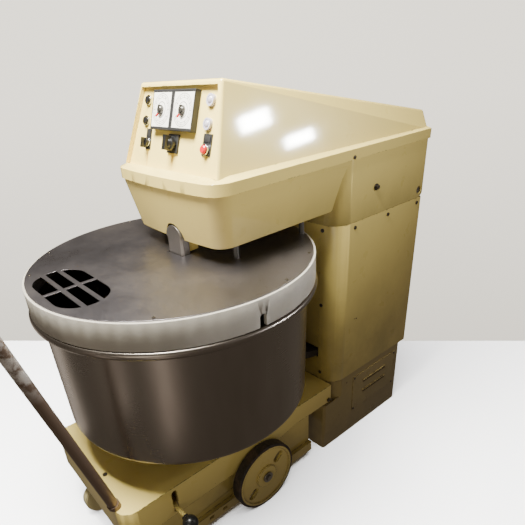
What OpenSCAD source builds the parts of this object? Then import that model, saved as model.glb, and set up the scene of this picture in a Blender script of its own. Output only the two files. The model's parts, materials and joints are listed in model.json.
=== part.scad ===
// Spiral dough mixer with a tilting head and a removable bowl on a wheeled truck.
// Frame: +X is the operator's right, +Y runs back to the column, +Z is up.
// The origin is on the floor, at the middle of the machine's footprint. The sizes below are
// measured from the bowl's axis and from the floor.

/* [Column and base] */
// Width of the column and of the head housing
column_w = 550; // [500:5:640]
// Distance from the bowl axis to the front of the column
column_front = 507; // [500:1:560]
// Depth of the column
column_d = 511; // [460:1:600]
// Radius of the column's two front corners
column_corner_r = 66; // [50:1:80]
// Thickness of the painted sheet
sheet = 3; // [2:0.5:4]
// Height of the base below the column
base_h = 314; // [300:1:330]
// Height of the seam between the column and the head
seam_z = 977; // [960:1:1040]

/* [Head] */
// Height of the nose floor above the seam
nose_step = 53; // [45:1:60]
// Width of the nose at its floor
nose_floor_w = 480; // [460:2:500]
// Height of the head housing above the seam
housing_h = 217; // [200:1:240]
// Height of the rim band of the cover
rim_h = 35; // [30:1:50]
// How far the rim band stands out from the housing
rim_out = 6; // [4:0.5:10]
// Height of the cover's front edge above the rim band
cover_h = 245; // [220:1:270]
// Drop of the cover's top from its front to its rear edge
cover_drop = 181; // [150:1:190]
// Width of the cover's top at the front
cover_top_front_w = 418; // [380:1:440]
// Width of the cover's top at the rear
cover_top_rear_w = 494; // [460:1:520]
// Distance from the bowl axis back to the top of the sloped front
cover_front_y = 101; // [90:1:120]
// Lean of the control panel back from the vertical
panel_tilt = 17.8; // [12:0.1:22]
// Depth of the control panel's recess
recess = 14; // [10:1:18]
// Largest angle to which the head is raised
head_lift = 35; // [30:1:40]

/* [Bowl and lid] */
// Outer radius of the bowl wall at its top
bowl_r = 442; // [430:1:446]
// Outer radius of the bowl wall at its floor
bowl_floor_r = 433; // [420:1:440]
// Height of the bowl's underside above the floor of the room
bowl_z = 458; // [450:1:470]
// Depth of the bowl from its rim bead to its underside
bowl_h = 419; // [400:1:430]
// Thickness of the bowl's steel
bowl_wall = 3; // [2.5:0.5:4]
// Radius of the rolled bead on the bowl's rim
bead_r = 13; // [10:1:14]
// Radius of the lid disc
lid_r = 460; // [455:1:464]
// Thickness of the lid disc
lid_t = 3; // [2:0.5:4]
// Height of the white skirt below the lid disc
skirt_h = 83; // [70:1:90]
// Outer radius of the white skirt
skirt_r = 467; // [465:1:470]
// Wall of the white skirt
skirt_wall = 12; // [8:1:14]
// Gap between the skirt and the rim bead
skirt_gap = 2; // [1:0.5:5]
// Length of the round-ended charging window in the lid
window_l = 316; // [280:1:340]
// Width of the charging window
window_w = 162; // [140:1:170]
// Distance of the charging window in front of the bowl axis
window_y = 349; // [340:1:352]
// Width of the grid bars across the window
grid_bar = 15; // [10:1:18]

/* [Spiral tool and breaker bar] */
// Distance of the spiral's axis behind the bowl axis
spiral_y = 243; // [238:1:248]
// Radius of the spiral at the middle of its rod
spiral_r = 140; // [128:1:150]
// Diameter of the spiral's rod
rod_d = 40; // [33:1:44]
// Turns of the spiral
spiral_turns = 1.5; // [1:0.25:2]
// Width of the breaker bar
bar_w = 82; // [70:1:90]
// Thickness of the breaker bar
bar_t = 30; // [26:1:36]
// Clearance between the tools and the bowl's floor
tool_gap = 18; // [12:1:25]

/* [Drive] */
// Diameter of the spiral's shaft
shaft_d = 70; // [60:1:74]
// Radius of the large pulley
pulley_r = 190; // [170:1:200]
// Radius of the motor pulley
motor_pulley_r = 60; // [50:1:70]
// Number of belts
belts = 3; // [2:1:3]
// Distance of the motor's axis behind the bowl axis
motor_y = 800; // [790:1:810]
// Radius of the spiral motor
motor_r = 105; // [90:1:108]
// Radius of the drive ring under the bowl
ring_r = 350; // [320:1:352]
// Radius of the friction roller
roller_r = 195; // [180:1:197]

/* [Truck] */
// Width of the truck's deck
deck_w = 542; // [520:2:550]
// Height of the deck above the floor
deck_z = 318; // [310:1:325]
// Distance from the bowl axis to the front of the deck
deck_front = 461; // [450:1:480]
// Radius of the deck's front corners
deck_corner_r = 52; // [30:1:60]
// Radius of the main wheels over their tyres
wheel_r = 136; // [120:1:140]
// Radial thickness of the tyres
tyre_t = 9; // [7:1:16]
// Width of the main wheels
wheel_w = 40; // [34:1:44]
// Distance of the wheel axle behind the bowl axis
wheel_y = 92; // [80:1:110]
// Diameter of the wheel axle
axle_d = 30; // [24:1:34]
// Radius of the front castor's wheel
caster_r = 68; // [60:1:72]
// Diameter of the handle's tube
handle_d = 34; // [28:1:40]
// Length of the handle
handle_l = 712; // [600:1:760]
// Lean of the handle out from the vertical
handle_tilt = 13.4; // [8:0.1:18]

/* [Clearances] */
// Radial clearance of a shaft that turns in its bore
run_fit = 0.05; // [0.02:0.01:0.1]
// Gap between curved faces that roll or pass each other
roll_gap = 0.3; // [0.2:0.1:0.5]

/* [Hidden] */

$fn = 64;
cream = "#e6d9a2";
steel = "#8d8f90";
dark = "#2b2b2d";

half_w = column_w / 2;
column_rear = column_front + column_d;
nose_z = seam_z + nose_step;
rim_z = seam_z + housing_h;
ledge_z = rim_z + rim_h;
cover_top_z = ledge_z + cover_h;
housing_wall = 4;
cover_wall = 4;

// Plan outline of the head's nose: a bowed front with round corners and straight sides.
nose_front_y = -14;
nose_floor_y = 16;
nose_bow = 10;
nose_corner_r = 60;
rim_front_y = -20;
rim_bow = 10;
rim_corner_r = 66;

// The head tilts about an axis just above the seam at the rear.
tilt_r = 28;
tilt_y = column_rear - tilt_r;
tilt_z = seam_z + tilt_r;
tilt_shaft_d = 30;

frame_x = half_w - 40;
frame_t = 10;
head_plate_z = rim_z - 14;
head_plate_t = 12;

// Lid and bowl heights follow from the bowl's underside and depth.
bead_z = bowl_z + bowl_h;
skirt_z = bead_z + bead_r + skirt_gap;
lid_z = skirt_z + skirt_h;
bowl_in_z = bowl_z + bowl_wall;
tool_z = bowl_in_z + tool_gap;
bead_c_r = lid_r;

bar_x = 20;
bar_y = 22;
bar_top_z = nose_z + 42;

shaft_r = shaft_d / 2;
hub_r = 62;
hub_top_z = lid_z - 40;
pulley_z = head_plate_z + head_plate_t + 18;
belt_pitch = 16;
pulley_h = belts * belt_pitch + 8;
belt_depth = 11;
motor_bottom_z = head_plate_z - 212;
housing_bore_r = shaft_r + 27;

lift_x = 175;
lift_foot_y = 760;
lift_foot_z = 420;
lift_top_y = 708;
lift_top_z = seam_z + 100;
lift_pin_d = 22;
lift_w = 50;
lift_l = norm([lift_top_y - lift_foot_y, lift_top_z - lift_foot_z]);
lift_lean = atan2(lift_foot_y - lift_top_y, lift_top_z - lift_foot_z);
barrel_l = 480;
barrel_r = 45;
lift_rod_r = 20;

roller_y = ring_r + roll_gap + roller_r;
roller_z = bowl_z - 34;
roller_h = 28;
roller_shaft_r = 14;
ring_z = bowl_z - 30;

skirt_rear_drop = 80;
skirt_front_drop = 122;
deck_t = 6;
rail_t = 4;
chassis_x = deck_w / 2 - 20;
chassis_bottom = 60;
wheel_in_x = deck_w / 2 + 4;
slot_y = -275;
slot_w = 20;
handle_foot = [206, 9 - deck_front, deck_z];
lever_pivot = [200, slot_y, deck_z - 86];
lever_tip = [338, slot_y, deck_z - 92];
lever_pin_r = 8;
knob_r = 26;

// The front castors' swivel axes and wheels; at rest they trail to the front.
caster_x = 115;
caster_y = -362;
caster_plate_z = 206;
caster_trail = 38;
caster_stem_r = 11;
caster_pin_r = 6;
rear_web = -250;

// The control panel's frame: its origin is at the foot of the sloped front, on the middle.
panel_foot_y = cover_front_y - cover_h * tan(panel_tilt) + 6;
panel_foot_z = ledge_z + 16;
panel_rise = (cover_top_z - panel_foot_z) / cos(panel_tilt);

// The middle of the footprint, between the handle's tip and the cover's rear.
mid_y = (column_rear + 2 + handle_foot[1] - handle_l * sin(handle_tilt) - handle_d / 2) / 2;

// Plan outlines and small shapes ------------------------------------------------------

// Colours a piece and moves it into the machine's frame.
module piece(paint) {
    translate([0, -mid_y, 0]) color(paint) children();
}

// Points of an arc about a centre, from angle a0 to a1.
function arc(cx, cy, r, a0, a1, n = 12) =
    [for (i = [0:n]) let (a = a0 + (a1 - a0) * i / n) [cx + r * cos(a), cy + r * sin(a)]];

// Plan outline of the head: bowed front, round front corners, square rear.
function head_plan(hw, front, bow, corner, rear) =
    let (big = (pow(hw - corner, 2) + bow * bow) / (2 * bow),
         side = asin((hw - corner) / big))
    concat(
        arc(0, front + big, big, 270 - side, 270 + side, 20),
        arc(hw - corner, front + bow + corner, corner, 270 + side, 360, 14),
        [[hw, rear], [-hw, rear]],
        arc(-hw + corner, front + bow + corner, corner, 180, 270 - side, 14)
    );

// Rectangle in plan with round front corners of one radius and rear corners of another.
module plan_block(hw, y0, y1, r_front, r_rear) {
    translate([-hw + r_front, y0]) square([2 * (hw - r_front), y1 - y0]);
    translate([-hw + r_rear, y0 + r_front]) square([2 * (hw - r_rear), y1 - y0 - r_front]);
    translate([-hw, y0 + r_front]) square([2 * hw, y1 - y0 - r_front - r_rear]);
    for (s = [-1, 1]) {
        translate([s * (hw - r_front), y0 + r_front]) circle(r_front);
        translate([s * (hw - r_rear), y1 - r_rear]) circle(r_rear);
    }
}

// A ring of sheet in plan: the block's outer skin.
module plan_skin(hw, y0, y1, r_front, r_rear, t) {
    difference() {
        plan_block(hw, y0, y1, r_front, r_rear);
        plan_block(hw - t, y0 + t, y1 - t, r_front - t, max(r_rear - t, 0.5));
    }
}

module tube(r, r_in, h) {
    difference() {
        cylinder(r = r, h = h);
        translate([0, 0, -1]) cylinder(r = r_in, h = h + 2);
    }
}

// A cylinder along X between two points at the same place in YZ.
module rod_x(x0, x1, y, z, r) {
    translate([x0, y, z]) rotate([0, 90, 0]) cylinder(r = r, h = x1 - x0);
}

// A plate in the YZ plane, from a 2D outline given as (y, z).
module plate_yz(x, t) {
    translate([x, 0, 0]) rotate([90, 0, 90]) linear_extrude(t) children();
}

module box(x0, x1, y0, y1, z0, z1) {
    translate([x0, y0, z0]) cube([x1 - x0, y1 - y0, z1 - z0]);
}

module screw_head(r = 6, h = 4) {
    difference() {
        union() {
            cylinder(r = r, h = h * 0.6);
            cylinder(r1 = r, r2 = r * 0.6, h = h, $fn = 32);
        }
        translate([0, 0, h * 0.6]) cylinder(r = r * 0.42, h = h, $fn = 6);
    }
}

// Places its children on the control panel: x across, s up the slope, d out from the recess.
module on_panel(x, s, d = 0) {
    translate([0, panel_foot_y, panel_foot_z]) rotate([90 - panel_tilt, 0, 0])
        translate([x, s, d - recess]) children();
}

// Belt or guard outline round two circles on the same centre line.
module loop_outline(r1, r2, dist) {
    k = (r1 - r2) / dist;
    c = sqrt(1 - k * k);
    circle(r1, $fn = 96);
    translate([0, dist]) circle(r2, $fn = 96);
    polygon([[r1 * c, r1 * k], [r2 * c, dist + r2 * k], [-r2 * c, dist + r2 * k], [-r1 * c, r1 * k]]);
}

// Round bar swept along a path; its last rings close to a round end.
function unit(v) = v / norm(v);
function bar_ring(p, t, r, n) =
    let (a = unit(cross(t, [0, 0, 1])), b = unit(cross(a, t)))
    [for (i = [0:n - 1]) p + r * (cos(360 * i / n) * a + sin(360 * i / n) * b)];

module swept_bar(path, r, n = 14) {
    m = len(path);
    dirs = [for (i = [0:m - 1]) unit(path[min(i + 1, m - 1)] - path[max(i - 1, 0)])];
    tip = path[m - 1];
    dir = dirs[m - 1];
    rings = concat(
        [for (i = [0:m - 1]) bar_ring(path[i], dirs[i], r, n)],
        [for (a = [30, 60, 80]) bar_ring(tip + r * sin(a) * dir, dir, r * cos(a), n)]
    );
    k = len(rings);
    points = [for (ring = rings, p = ring) p];
    faces = concat(
        [[for (i = [0:n - 1]) n - 1 - i]],
        [for (j = [0:k - 2], i = [0:n - 1]) each [
            [j * n + i, j * n + (i + 1) % n, (j + 1) * n + (i + 1) % n],
            [j * n + i, (j + 1) * n + (i + 1) % n, (j + 1) * n + i]]],
        [[for (i = [0:n - 1]) (k - 1) * n + i]]
    );
    polyhedron(points, faces);
}

// Base and column ---------------------------------------------------------------------

plinth_step_z = 228;
plinth_front = column_front - 47;
base_hw = half_w - 2;
base_rear = column_rear - 40;
vent_y0 = column_front + 138;
vent_l = 300;
vent_z0 = 104;
vent_h = 178;

motor_neck_r = 24;

module base_plinth() {
    piece("#b9ac7b") difference() {
        union() {
            linear_extrude(plinth_step_z) plan_skin(base_hw, plinth_front, base_rear, 12, 12, 4);
            translate([0, 0, plinth_step_z - 4]) linear_extrude(4)
                plan_block(base_hw, plinth_front, column_front + 6, 12, 1);
            translate([0, 0, plinth_step_z - 4]) linear_extrude(base_h - plinth_step_z - 4)
                plan_skin(base_hw, column_front + 2, base_rear, 60, 12, 4);
            translate([0, 0, base_h - 8]) linear_extrude(8)
                plan_block(base_hw, column_front + 2, base_rear, 60, 12);
        }
        for (s = [-1, 1]) translate([s * base_hw, 0, 0])
            box(-10, 10, vent_y0 + 24, vent_y0 + vent_l - 24, vent_z0 + 20, vent_z0 + vent_h - 20);
        translate([0, roller_y, plinth_step_z]) cylinder(r = motor_neck_r + roll_gap, h = base_h);
    }
}

module vent_panels() {
    piece("#b9ac7b") for (s = [-1, 1]) difference() {
        union() {
            translate([s * (base_hw + 1), 0, 0])
                box(-1, 1, vent_y0, vent_y0 + vent_l, vent_z0, vent_z0 + vent_h);
            for (z = [0.38, 0.68]) translate([s * (base_hw + 2), 0, vent_z0 + vent_h * z])
                box(-3, 3, vent_y0 + 66, vent_y0 + vent_l - 66, 8, 12);
        }
        for (z = [0.38, 0.68]) translate([s * (base_hw + 2), 0, vent_z0 + vent_h * z])
            box(-6, 6, vent_y0 + 70, vent_y0 + vent_l - 70, -2, 8);
    }
}

// Side plates with ears that carry the tilt shaft, cross pieces, and the lift's foot bracket.
module column_frame() {
    foot_x = lift_w / 2 + 1;
    piece(steel) {
        for (s = [-1, 1]) plate_yz(s * frame_x - frame_t / 2, frame_t) {
            difference() {
                translate([column_front + 66, base_h]) square([column_d - 82, seam_z - 23 - base_h]);
                translate([column_front + 140, base_h + 100]) square([250, 430]);
            }
            translate([tilt_y - 12, base_h + 600]) square([24, tilt_z - base_h - 600]);
            translate([tilt_y, tilt_z]) circle(20);
        }
        rod_x(-half_w + 5, half_w - 5, tilt_y, tilt_z, tilt_shaft_d / 2);
        box(-frame_x, frame_x, base_rear - 50, base_rear - 10, base_h, base_h + 500);
        box(-frame_x, frame_x, lift_foot_y - 40, lift_foot_y + 40, lift_foot_z - 70, lift_foot_z - 40);
        for (s = [-1, 1]) {
            x = lift_x + (s > 0 ? foot_x : -foot_x - 14);
            box(x, x + 14, lift_foot_y - 30, lift_foot_y + 30, lift_foot_z - 40, lift_foot_z);
            rod_x(x, x + 14, lift_foot_y, lift_foot_z, 30);
        }
        rod_x(lift_x - foot_x - 14, lift_x + foot_x + 14, lift_foot_y, lift_foot_z, lift_pin_d / 2);
    }
}

strip_lap = 12;
strip_x = half_w - column_corner_r - strip_lap - 2;
lap = 3;

module column_skin(z0, z1) {
    translate([0, 0, z0]) linear_extrude(z1 - z0)
        plan_skin(half_w, column_front, column_rear, column_corner_r, 10, sheet);
}

module column_panel(side) {
    piece(cream) intersection() {
        column_skin(base_h, seam_z - 1);
        if (side > 0) box(strip_x, half_w + 1, 0, column_rear + 1, 0, seam_z);
        else box(-half_w - 1, -strip_x, 0, column_rear + 1, 0, seam_z);
    }
}

module column_panel_right() { column_panel(1); }
module column_panel_left() { column_panel(-1); }

module column_front_plate() {
    slot_half = sqrt(pow(roller_r, 2) - pow(roller_y - column_front - lap - sheet, 2)) + 6;
    piece(cream) difference() {
        box(-strip_x - strip_lap, strip_x + strip_lap, column_front + lap, column_front + lap + sheet,
            base_h, seam_z - 1);
        box(-slot_half, slot_half, column_front, column_front + 20, roller_z - 8, roller_z + roller_h + 8);
    }
}

module column_back_panel() {
    piece(cream) box(-strip_x, strip_x, column_rear - sheet, column_rear, base_h, seam_z - 1);
}

side_screw_y = [column_front + 93, column_front + 287, column_rear - 34];
strip_screw_z = [base_h + 36, base_h + 346, seam_z - 20];
plinth_screw = [vent_y0 - 2, vent_z0 + 6];

module frame_screws() {
    piece(dark) {
        for (s = [-1, 1], y = side_screw_y)
            translate([s * half_w, y, seam_z - 20]) rotate([0, s * 90, 0]) screw_head(7);
        for (s = [-1, 1], z = strip_screw_z)
            translate([s * (strip_x + 12), column_front, z]) rotate([90, 0, 0]) screw_head(7);
        for (s = [-1, 1], y = [vent_y0 + 8, vent_y0 + vent_l - 8], z = [vent_z0 + 8, vent_z0 + vent_h - 8])
            translate([s * (base_hw + 2), y, z]) rotate([0, s * 90, 0]) screw_head(5, 3);
        for (s = [-1, 1]) translate([s * deck_w / 2, column_front - 20, deck_z - 66])
            rotate([0, s * 90, 0]) cylinder(r = 9, h = 6, $fn = 6);
        translate([62, -415, deck_z]) cylinder(r = 8, h = 3);
    }
}

// Upright motor below the friction roller, hung from the base's top plate.
module bowl_motor() {
    r = 68;
    top = plinth_step_z - 14;
    piece("#9aa3a6") translate([0, roller_y, 0]) difference() {
        union() {
            translate([0, 0, 50]) cylinder(r = r - 5, h = top - 50);
            for (a = [0:20:340]) rotate([0, 0, a]) translate([r - 7, -1.5, 64]) cube([7, 3, top - 84]);
            translate([0, 0, top - 12]) cylinder(r = r, h = 12);
            translate([0, 0, top]) cylinder(r = motor_neck_r + 6, h = base_h - 8 - top);
            translate([0, 0, top]) cylinder(r = motor_neck_r, h = base_h + 6 - top);
        }
        translate([0, 0, base_h - 60]) cylinder(r = roller_shaft_r + run_fit, h = 80);
    }
}

// Truck -------------------------------------------------------------------------------

module deck_plan(inset = 0) {
    plan_block(deck_w / 2 - inset, -deck_front + inset, column_front - 3 - inset, deck_corner_r - inset, 2);
}

// Side view of the down-turned rail: shallow at the rear and deeper at the front.
module rail_profile() {
    rear = column_front - 3;
    polygon([
        [-deck_front - 1, deck_z + 1], [rear, deck_z + 1], [rear, deck_z - skirt_rear_drop],
        [290, deck_z - skirt_rear_drop], [130, deck_z - skirt_front_drop + 6],
        [-deck_front - 1, deck_z - skirt_front_drop]
    ]);
}

module truck_deck() {
    piece(cream) difference() {
        union() {
            translate([0, 0, deck_z - deck_t]) linear_extrude(deck_t) deck_plan();
            intersection() {
                translate([0, 0, deck_z - skirt_front_drop - 5]) linear_extrude(skirt_front_drop + 4)
                    difference() {
                        deck_plan();
                        deck_plan(rail_t);
                        translate([0, column_front]) square([deck_w - 2 * rail_t, 40], center = true);
                    }
                plate_yz(-deck_w, 2 * deck_w) rail_profile();
            }
        }
        translate([deck_w / 2, slot_y, 0]) {
            box(-20, 20, -slot_w / 2, slot_w / 2, deck_z - 98, deck_z - 24);
            translate([-20, 0, deck_z - 24]) rotate([0, 90, 0]) cylinder(r = slot_w / 2, h = 40);
            translate([-20, 0, deck_z - 98]) rotate([0, 90, 0]) cylinder(r = slot_w / 2, h = 40);
        }
        cylinder(r = 62, h = deck_z + 1);
    }
}

// Box of sheets under the deck, with the axle's bosses, the castor plate, the latch and lever bearings.
module truck_chassis() {
    top = deck_z - deck_t;
    front = -deck_front + 30;
    piece(cream) difference() {
        union() {
            for (s = [-1, 1]) {
                box(s > 0 ? chassis_x - 6 : -chassis_x, s > 0 ? chassis_x : -chassis_x + 6,
                    front, 392, chassis_bottom, top);
                box(s > 0 ? chassis_x : -chassis_x - 16, s > 0 ? chassis_x + 16 : -chassis_x,
                    front + 10, 392, 37, 80);
                rod_x(s > 0 ? chassis_x - 46 : -chassis_x, s > 0 ? chassis_x : -chassis_x + 46,
                    wheel_y, wheel_r, 32);
                translate([s * 70, 0, 0]) box(-4, 4, rear_web, 380, top - 60, top);
            }
            box(6 - chassis_x, chassis_x - 6, front, front + 6, caster_r * 2 + 14, top);
            box(6 - chassis_x, chassis_x - 6, rear_web, rear_web + 6, 150, top);
            box(6 - chassis_x, chassis_x - 6, front + 6, rear_web, caster_plate_z, caster_plate_z + 10);
            box(6 - chassis_x, chassis_x - 6, 380, 386, chassis_bottom, top);
            box(-30, 30, 386, plinth_front, 150, 162);
            for (d = [-14, 8]) translate([lever_pivot[0], slot_y + d, lever_pivot[2]]) {
                rotate([-90, 0, 0]) cylinder(r = 18, h = 6);
                translate([-18, 0, 0]) cube([36, 6, top - lever_pivot[2]]);
            }
        }
        rod_x(-half_w, half_w, wheel_y, wheel_r, axle_d / 2);
        for (s = [-1, 1], y = [-141, -79]) translate([s * (chassis_x + 8), 0, 0])
            box(-12, 12, y - 9, y + 9, 56, 66);
        translate([chassis_x, slot_y, 0]) box(-20, 20, -16, 16, deck_z - 130, deck_z - 10);
        for (s = [-1, 1]) translate([s * caster_x, caster_y, caster_plate_z - 1])
            cylinder(r = caster_stem_r + run_fit, h = 12);
        translate([lever_pivot[0], slot_y - 20, lever_pivot[2]]) rotate([-90, 0, 0])
            cylinder(r = lever_pin_r + run_fit, h = 40);
    }
}

module wheel_axle() {
    x = wheel_in_x + wheel_w + 3;
    piece(steel) {
        rod_x(-x, x, wheel_y, wheel_r, axle_d / 2);
        for (s = [-1, 1]) {
            rod_x(s > 0 ? x : -x - 6, s > 0 ? x + 6 : -x, wheel_y, wheel_r, axle_d / 2 + 6);
            translate([s * (x + 6), wheel_y, wheel_r]) rotate([0, s * 90, 0])
                cylinder(r = 12, h = 6, $fn = 6);
        }
    }
}

spindle_r = 40;
bearing_t = 22;

module bowl_bearing_housing() {
    piece(cream) translate([0, 0, deck_z]) difference() {
        union() {
            cylinder(r = 150, h = 12);
            cylinder(r = 96, h = 84);
            for (a = [0:60:300]) rotate([0, 0, a]) translate([90, -5, 0]) cube([50, 10, 40]);
        }
        translate([0, 0, 8]) cylinder(r = spindle_r + 22, h = 100);
        translate([0, 0, -1]) cylinder(r = spindle_r + 12, h = 20);
    }
}

module bowl_bearings() {
    piece("#b9bcc0") for (z = [deck_z + 8, deck_z + 84 - bearing_t]) translate([0, 0, z])
        tube(spindle_r + 22, spindle_r + run_fit, bearing_t);
}

module push_handle() {
    piece("#6f625a") translate(handle_foot) {
        rotate([handle_tilt, 0, 0]) {
            translate([0, 0, 6]) tube(handle_d / 2, handle_d / 2 - 3, handle_l - 6);
            translate([0, 0, handle_l]) intersection() {
                sphere(handle_d / 2);
                cylinder(r = handle_d, h = handle_d);
            }
        }
        difference() {
            rotate([handle_tilt, 0, 0]) translate([0, 0, -20]) cylinder(r = handle_d / 2 + 3, h = 38);
            rotate([handle_tilt, 0, 0]) translate([0, 0, 6]) cylinder(r = handle_d / 2, h = 40);
            translate([-60, -60, -80]) cube([120, 120, 80]);
        }
    }
}

// One cast wheel in its own frame: the axle along X, the outer face towards +X.
module cast_wheel() {
    r = wheel_r - tyre_t;
    rotate([0, 90, 0]) translate([0, 0, -wheel_w / 2]) difference() {
        union() {
            tube(r, r - 9, wheel_w);
            translate([0, 0, wheel_w - 20]) cylinder(r = r - 4, h = 15);
            cylinder(r = 34, h = wheel_w);
            translate([0, 0, wheel_w - 8]) cylinder(r = 46, h = 10);
        }
        for (a = window_angles) rotate([0, 0, a]) translate([0, 0, -1]) linear_extrude(wheel_w + 2) {
            translate([window_x, 0]) square([20, 30], center = true);
            for (x = [-10, 10]) translate([window_x + x, 0]) circle(15);
        }
        translate([0, 0, -1]) cylinder(r = axle_d / 2 + run_fit, h = wheel_w + 4);
    }
}

// The two oval windows of a wheel, on one diameter.
window_angles = [129, 309];
window_x = wheel_r * 0.61;

module tyre() {
    r = wheel_r - tyre_t;
    rotate([0, 90, 0]) rotate_extrude($fn = 96) difference() {
        union() {
            translate([r, -wheel_w / 2]) square([tyre_t - 5, wheel_w]);
            translate([r, -wheel_w / 2 + 5]) square([tyre_t, wheel_w - 10]);
            for (s = [-1, 1]) translate([wheel_r - 5, s * (wheel_w / 2 - 5)]) circle(5, $fn = 24);
        }
        translate([0, -wheel_w]) square([r, 2 * wheel_w]);
    }
}

module at_wheel(s) {
    translate([s * (wheel_in_x + wheel_w / 2), wheel_y, wheel_r]) mirror([s > 0 ? 0 : 1, 0, 0]) children();
}

module wheel_right() { piece(cream) at_wheel(1) cast_wheel(); }
module tyre_right() { piece(dark) at_wheel(1) tyre(); }
module wheel_left() { piece(cream) at_wheel(-1) cast_wheel(); }
module tyre_left() { piece(dark) at_wheel(-1) tyre(); }

caster_w = 34;
caster_z = caster_r;

module caster_fork() {
    cheek_x = caster_w / 2 + 5;
    piece(cream) {
        translate([0, 0, caster_plate_z - 18]) cylinder(r = 34, h = 18 - roll_gap);
        translate([0, 0, caster_plate_z - 30]) cylinder(r = 40, h = 12);
        translate([0, 0, caster_plate_z - 20]) cylinder(r = caster_stem_r, h = 36);
        for (s = [-1, 1]) plate_yz(s * (cheek_x + 2) - 2, 4) {
            translate([-caster_trail, caster_z]) circle(16);
            polygon([
                [-caster_trail - 16, caster_z], [-caster_trail + 16, caster_z],
                [32, caster_plate_z - 24], [-32, caster_plate_z - 24]
            ]);
        }
        rod_x(-cheek_x - 8, cheek_x + 8, -caster_trail, caster_z, caster_pin_r);
    }
}

module caster_wheel() {
    piece("#d9cd9a") translate([-caster_w / 2, -caster_trail, caster_z]) rotate([0, 90, 0])
        difference() {
            union() {
                cylinder(r = caster_r - 3, h = caster_w);
                translate([0, 0, 3]) cylinder(r = caster_r, h = caster_w - 6);
                translate([0, 0, -3]) cylinder(r = 14, h = caster_w + 6);
            }
            translate([0, 0, -5]) cylinder(r = caster_pin_r + run_fit, h = caster_w + 10);
        }
}

module at_caster(s) { translate([s * caster_x, caster_y, 0]) children(); }

module caster_fork_right() { at_caster(1) caster_fork(); }
module caster_wheel_right() { at_caster(1) caster_wheel(); }
module caster_fork_left() { at_caster(-1) caster_fork(); }
module caster_wheel_left() { at_caster(-1) caster_wheel(); }

module lock_lever() {
    length = norm(lever_tip - lever_pivot);
    drop = atan2(lever_pivot[2] - lever_tip[2], lever_tip[0] - lever_pivot[0]);
    piece(cream) translate(lever_pivot) rotate([0, drop, 0]) {
        translate([0, 7, 0]) rotate([90, 0, 0]) cylinder(r = 16, h = 14);
        translate([0, -7, -5]) cube([length - 20, 14, 10]);
        translate([length - 40, 0, 0]) rotate([0, 90, 0]) cylinder(r = lever_neck_r, h = 40);
        translate([0, -15, 0]) rotate([-90, 0, 0]) cylinder(r = lever_pin_r, h = 30);
    }
}

lever_neck_r = 6;

module lever_knob() {
    drop = atan2(lever_pivot[2] - lever_tip[2], lever_tip[0] - lever_pivot[0]);
    piece(dark) translate(lever_tip) rotate([0, drop, 0]) difference() {
        union() {
            translate([12, 0, 0]) sphere(knob_r);
            translate([-18, 0, 0]) rotate([0, 90, 0]) cylinder(r = 12, h = 14);
        }
        translate([-20, 0, 0]) rotate([0, 90, 0]) cylinder(r = lever_neck_r, h = 20);
    }
}

// Bowl and its drive ------------------------------------------------------------------

module bowl() {
    corner = 22;
    top = bowl_h;
    wall_in = bowl_r - bowl_wall;
    piece("#8b8780") translate([0, 0, bowl_z]) rotate_extrude($fn = 180) {
        square([bowl_floor_r - corner, bowl_wall]);
        polygon([[bowl_floor_r - bowl_wall, corner], [bowl_floor_r, corner], [bowl_r, top], [wall_in, top]]);
        intersection() {
            difference() {
                translate([bowl_floor_r - corner, corner]) circle(corner, $fn = 48);
                translate([bowl_floor_r - corner, corner]) circle(corner - bowl_wall, $fn = 48);
            }
            translate([bowl_floor_r - corner, 0]) square(corner);
        }
        polygon([
            [wall_in, top - 22], [bowl_r, top - 22], [bead_c_r - bead_r + 5, top - 4],
            [bead_c_r - bead_r + 2, top + 2], [wall_in, top - 4]
        ]);
        translate([bead_c_r, top]) difference() {
            circle(bead_r, $fn = 40);
            circle(bead_r - bowl_wall, $fn = 40);
        }
    }
}

module bowl_turntable() {
    piece(steel) difference() {
        union() {
            translate([0, 0, deck_z + 10]) cylinder(r = spindle_r, h = bowl_z - deck_z - 10);
            translate([0, 0, bowl_z - 44]) cylinder(r = 70, h = 44);
            translate([0, 0, bowl_z - 8]) cylinder(r = ring_r, h = 8, $fn = 128);
            translate([0, 0, ring_z]) tube(ring_r, ring_r - 14, bowl_z - ring_z, $fn = 128);
        }
        for (a = [0:45:315]) rotate([0, 0, a]) translate([ring_r * 0.58, 0, bowl_z - 20])
            cylinder(r = 52, h = 30);
    }
}

module drive_roller() {
    piece("#3a3836") translate([0, roller_y, 0]) {
        translate([0, 0, roller_z]) tube(roller_r, roller_r - 16, roller_h, $fn = 96);
        translate([0, 0, roller_z + 6]) tube(roller_r - 16, 30, roller_h - 12, $fn = 96);
        translate([0, 0, base_h + 10]) cylinder(r = 30, h = roller_z + roller_h - base_h - 10);
        translate([0, 0, base_h - 50]) cylinder(r = roller_shaft_r, h = 62);
    }
}

// Head --------------------------------------------------------------------------------

notch_gap = 6;

module neck_plan(inset = 0) {
    plan_block(half_w - inset, column_front + inset, column_rear - inset, column_corner_r - inset,
        max(4 - inset, 0.5));
}

// One slab of the tapered nose: its plan at a height, with its rear inside the neck.
module nose_slab(hw, front, corner, z) {
    translate([0, 0, z]) linear_extrude(1)
        polygon(head_plan(hw, front, nose_bow, corner, column_front + column_corner_r - 6));
}

// The nose, narrower and shorter at its floor than at its top.
module nose_solid(inset = 0) {
    open = inset > 0 ? 5 : 0;
    hull() {
        nose_slab(half_w - inset, nose_front_y + inset, nose_corner_r - inset, rim_z - 1 + open);
        nose_slab(nose_floor_w / 2 - inset, nose_floor_y + inset, nose_corner_r - 8 - inset, nose_z + inset);
    }
}

// Round relief at the lower rear corner, so that the housing turns freely about the tilt shaft.
module rear_relief() {
    difference() {
        box(-half_w - 1, half_w + 1, tilt_y, column_rear + 1, seam_z - 1, tilt_z);
        rod_x(-half_w - 2, half_w + 2, tilt_y, tilt_z, tilt_r);
    }
}

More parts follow.
